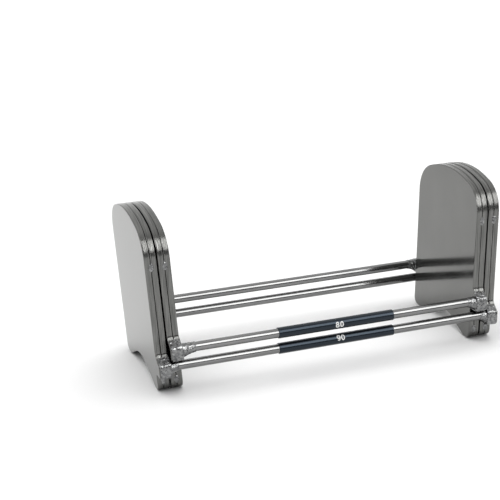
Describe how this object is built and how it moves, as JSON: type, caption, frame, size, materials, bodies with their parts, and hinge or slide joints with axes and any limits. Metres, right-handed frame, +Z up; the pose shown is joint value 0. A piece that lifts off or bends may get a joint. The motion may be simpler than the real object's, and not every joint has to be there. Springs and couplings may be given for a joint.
{
  "type": "nesting weight kit for an adjustable dumbbell",
  "caption": "Nesting steel weight frames for a block-type adjustable dumbbell: end plates joined by front and rear rails, with the inner frame lifting straight out of the outer one.",
  "frame": {"origin": "on the floor, at the middle of the kit's length and depth", "axes": "+X along the rails, to the right as the labels are read; +Y to the rear, away from the labels; +Z up"},
  "size_m": [0.405, 0.1651, 0.1842],
  "materials": {
    "plate_90": "gloss",
    "plate_80": "gloss",
    "rail": "gloss",
    "weld": "gloss",
    "label_sleeve": "gloss"
  },
  "bodies": {
    "outer_frame": {"plate_90_left_outer": "plate_90", "plate_90_left_inner": "plate_90", "weld_90_front_left": "weld", "weld_90_rear_left": "weld", "tacks_90_left": "weld", "plate_90_right_outer": "plate_90", "plate_90_right_inner": "plate_90", "weld_90_front_right": "weld", "weld_90_rear_right": "weld", "tacks_90_right": "weld", "rail_90_front": "rail", "rail_90_rear": "rail", "label_sleeve_90": "label_sleeve"},
    "inner_frame": {"plate_80_left_outer": "plate_80", "plate_80_left_inner": "plate_80", "weld_80_front_left": "weld", "weld_80_rear_left": "weld", "tacks_80_left": "weld", "plate_80_right_outer": "plate_80", "plate_80_right_inner": "plate_80", "weld_80_front_right": "weld", "weld_80_rear_right": "weld", "tacks_80_right": "weld", "rail_80_front": "rail", "rail_80_rear": "rail", "label_sleeve_80": "label_sleeve"}
  },
  "joints": [
    {"name": "inner_frame_lift", "type": "slide", "parent": "outer_frame", "child": "inner_frame", "axis": [0, 0, 1], "range_m": [0, 0.19]}
  ]
}
